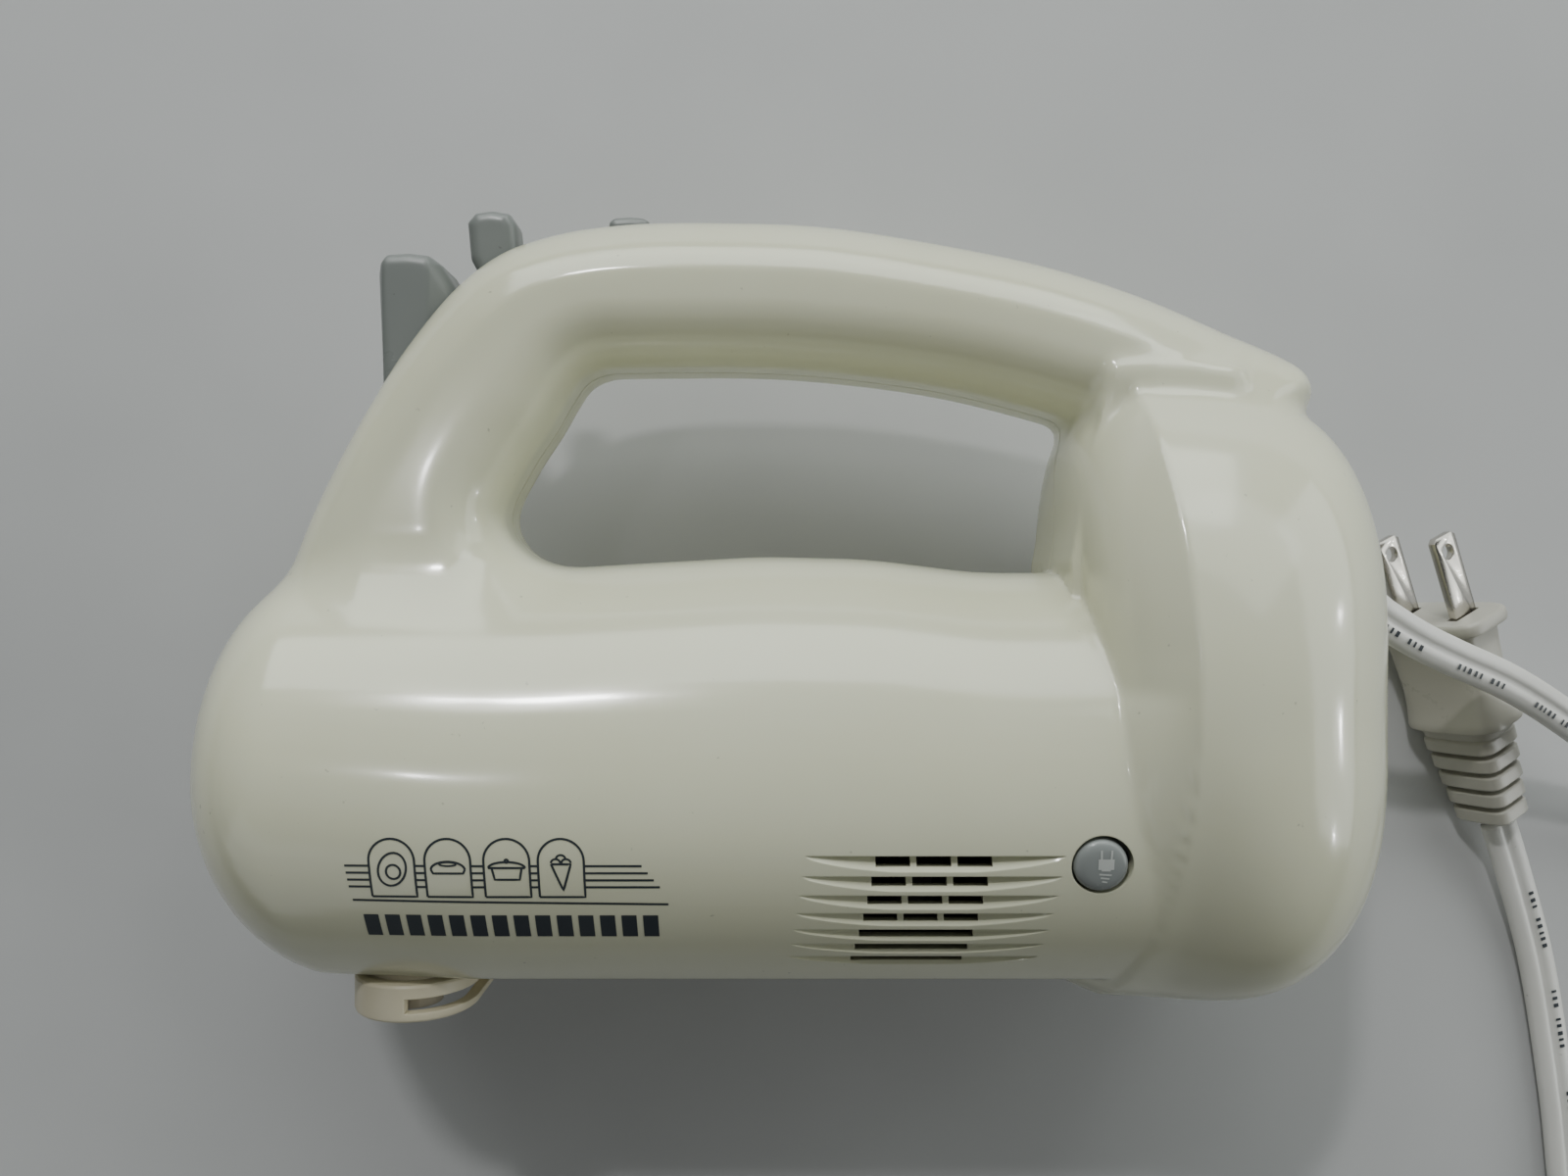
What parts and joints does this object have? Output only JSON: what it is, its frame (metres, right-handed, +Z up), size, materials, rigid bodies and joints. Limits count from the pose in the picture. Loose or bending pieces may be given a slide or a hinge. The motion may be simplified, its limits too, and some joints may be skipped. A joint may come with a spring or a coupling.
{
  "type": "hand mixer",
  "caption": "Hand-held kitchen mixer with arched grip, worm-driven beater spindles, eject button, speed lever and a sprung cord reel in its heel.",
  "frame": {"origin": "middle of the footprint on the floor, under the housing with the cord left out", "axes": "+X from nose to heel, +Y from the beater collar to the handle's top, +Z up out of the left side"},
  "size_m": [0.3341, 0.2503, 0.082],
  "materials": {
    "ivory_plastic": "gloss moulded ivory",
    "collar_plastic": "satin moulded cream",
    "grey_plastic": "satin cool grey",
    "nylon": "natural nylon",
    "steel": "bright",
    "laminations": "stacked sheet",
    "copper": "enamelled copper",
    "brass": "plain",
    "carbon": "sintered carbon",
    "black_plastic": "moulded black",
    "board": "phenolic board",
    "film": "dipped film capacitor",
    "white_vinyl": "soft white vinyl",
    "nickel": "nickel plated",
    "screw_steel": "zinc plated"
  },
  "bodies": {
    "mixer_frame": {"beater_collar": "collar_plastic", "brake_pin": "steel", "circuit_board": "board", "contact_block": "brass", "cord_grommet": "grey_plastic", "eject_spring": "steel", "free_cord": "white_vinyl", "front_bearing": "brass", "front_bracket": "steel", "gear_carrier": "nylon", "gear_cover": "nylon", "housing_screw_1": "screw_steel", "housing_screw_2": "screw_steel", "housing_screw_3": "screw_steel", "housing_screw_4": "screw_steel", "housing_screw_5": "screw_steel", "left_brush_holder": "brass", "left_carbon_brush": "carbon", "left_housing": "ivory_plastic", "lever_pin": "steel", "lower_field_coil": "copper", "lower_plug_blade": "nickel", "mainspring": "steel", "nose_grille": "ivory_plastic", "plug_body": "white_vinyl", "rear_bearing": "brass", "rear_bracket": "steel", "reel_axle": "steel", "reel_frame": "black_plastic", "right_brush_holder": "brass", "right_carbon_brush": "carbon", "right_housing": "ivory_plastic", "speed_resistor": "nylon", "stator_core": "laminations", "strain_relief": "white_vinyl", "suppressor_capacitor": "film", "switch_block": "black_plastic", "turbo_spring": "steel", "upper_field_coil": "copper", "upper_plug_blade": "nickel"},
    "armature": {"armature_shaft": "steel", "armature_core": "laminations", "armature_winding_front": "copper", "armature_winding_rear": "copper", "commutator": "copper", "cooling_fan": "nylon"},
    "left_spindle": {"left_spindle": "nylon"},
    "right_spindle": {"right_spindle": "nylon"},
    "ejector": {"eject_button": "grey_plastic", "eject_fork": "nylon"},
    "speed_lever": {"speed_lever": "grey_plastic"},
    "turbo": {"turbo_button": "grey_plastic"},
    "cord_button": {"cord_button": "grey_plastic"},
    "brake": {"brake_lever": "nylon"},
    "reel": {"reel_drum": "black_plastic", "wound_cord": "white_vinyl", "outer_slip_ring": "brass", "inner_slip_ring": "brass"}
  },
  "joints": [
    {"name": "motor_spin", "type": "hinge", "parent": "mixer_frame", "child": "armature", "pos_m": [-0.02135, -0.03085, 0.041], "axis": [1, 0, 0], "continuous": true},
    {"name": "left_spindle_spin", "type": "hinge", "parent": "mixer_frame", "child": "left_spindle", "pos_m": [-0.06485, -0.03085, 0.053], "axis": [0, 1, 0], "continuous": true},
    {"name": "right_spindle_spin", "type": "hinge", "parent": "mixer_frame", "child": "right_spindle", "pos_m": [-0.06485, -0.03085, 0.029], "axis": [0, 1, 0], "continuous": true},
    {"name": "eject_slide", "type": "slide", "parent": "mixer_frame", "child": "ejector", "axis": [0, -1, 0], "range_m": [0, 0.0055], "stiffness_N_per_m": 600, "springref_m": -0.003, "deforming": ["eject_spring"]},
    {"name": "speed_swing", "type": "hinge", "parent": "mixer_frame", "child": "speed_lever", "pos_m": [-0.04135, 0.04915, 0.041], "axis": [0, 0, -1], "range_deg": [0, 36]},
    {"name": "turbo_press", "type": "slide", "parent": "mixer_frame", "child": "turbo", "axis": [0, -1, 0], "range_m": [0, 0.0015], "stiffness_N_per_m": 800, "springref_m": -0.001, "deforming": ["turbo_spring"]},
    {"name": "cord_button_press", "type": "slide", "parent": "mixer_frame", "child": "cord_button", "axis": [0, 0.2079, -0.9781], "range_m": [0, 0.0015], "stiffness_N_per_m": 900, "springref_m": -0.001},
    {"name": "brake_swing", "type": "hinge", "parent": "mixer_frame", "child": "brake", "pos_m": [0.05465, -0.03787, 0.06897], "axis": [0, -0.8131, -0.5821], "range_deg": [0, 12]},
    {"name": "reel_spin", "type": "hinge", "parent": "mixer_frame", "child": "reel", "pos_m": [0.07065, -0.01785, 0.041], "axis": [1, 0, 0], "continuous": true}
  ],
  "couplings": [
    {"joint": "left_spindle_spin", "follows": "motor_spin", "ratio": 0.066667},
    {"joint": "right_spindle_spin", "follows": "motor_spin", "ratio": -0.066667},
    {"joint": "brake_swing", "follows": "cord_button_press", "rad_per_m": 135}
  ]
}
